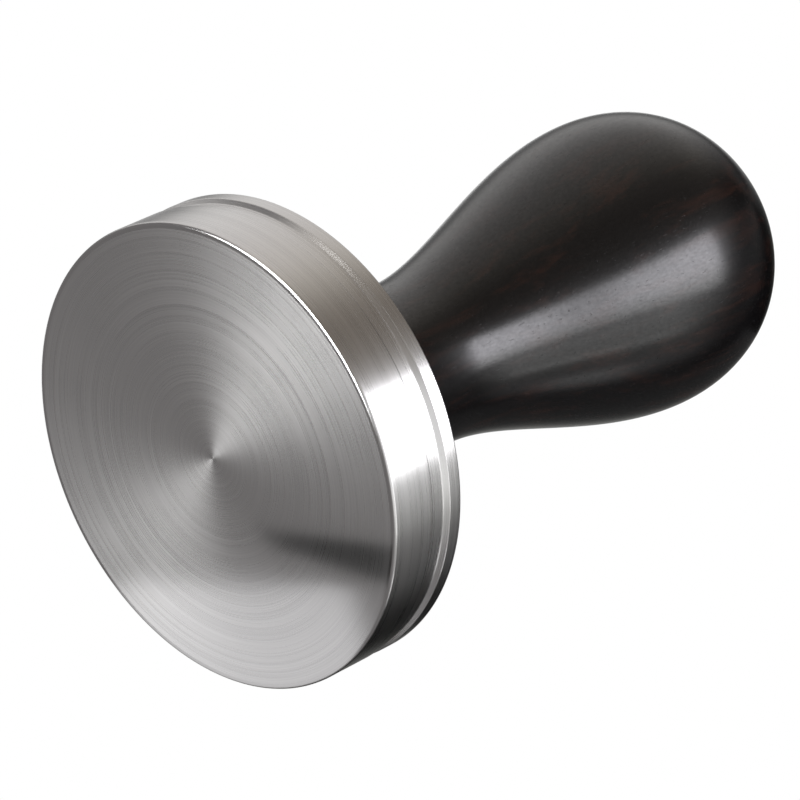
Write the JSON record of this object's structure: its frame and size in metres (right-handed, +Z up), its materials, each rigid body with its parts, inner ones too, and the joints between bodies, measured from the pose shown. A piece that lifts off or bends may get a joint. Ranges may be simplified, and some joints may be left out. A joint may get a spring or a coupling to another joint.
{
  "type": "espresso tamper",
  "caption": "Hand tamper for espresso: a flat round turned steel base with a grooved rim, and a pear-shaped dark hardwood handle that unscrews from it.",
  "frame": {"origin": "centre of the flat tamping face, where the tamper stands", "axes": "+Z up the tool's axis from the tamping face to the top of the handle; X and Y are equal, because the tool is round"},
  "size_m": [0.058, 0.058, 0.0925],
  "materials": {
    "turned_steel": "stainless steel, finely turned, with concentric marks on the face",
    "stud_steel": "plain stainless set screw with a rolled thread",
    "washer_nylon": "black nylon, matt",
    "insert_brass": "machined brass",
    "dark_hardwood": "near-black ebony, fine straight grain, gloss lacquer"
  },
  "bodies": {
    "base": {"piston_base": "turned_steel", "handle_stud": "stud_steel"},
    "washer": {"friction_washer": "washer_nylon"},
    "handle": {"threaded_insert": "insert_brass", "turned_handle": "dark_hardwood"}
  },
  "joints": [
    {"name": "handle_turn", "type": "hinge", "parent": "base", "child": "washer", "pos_m": [0, 0, 0.0113], "axis": [0, 0, 1], "range_deg": [0, 3061]},
    {"name": "handle_rise", "type": "slide", "parent": "washer", "child": "handle", "axis": [0, 0, 1], "range_m": [0, 0.01063]}
  ],
  "couplings": [
    {"joint": "handle_turn", "follows": "handle_rise", "rad_per_m": 5026.5}
  ]
}
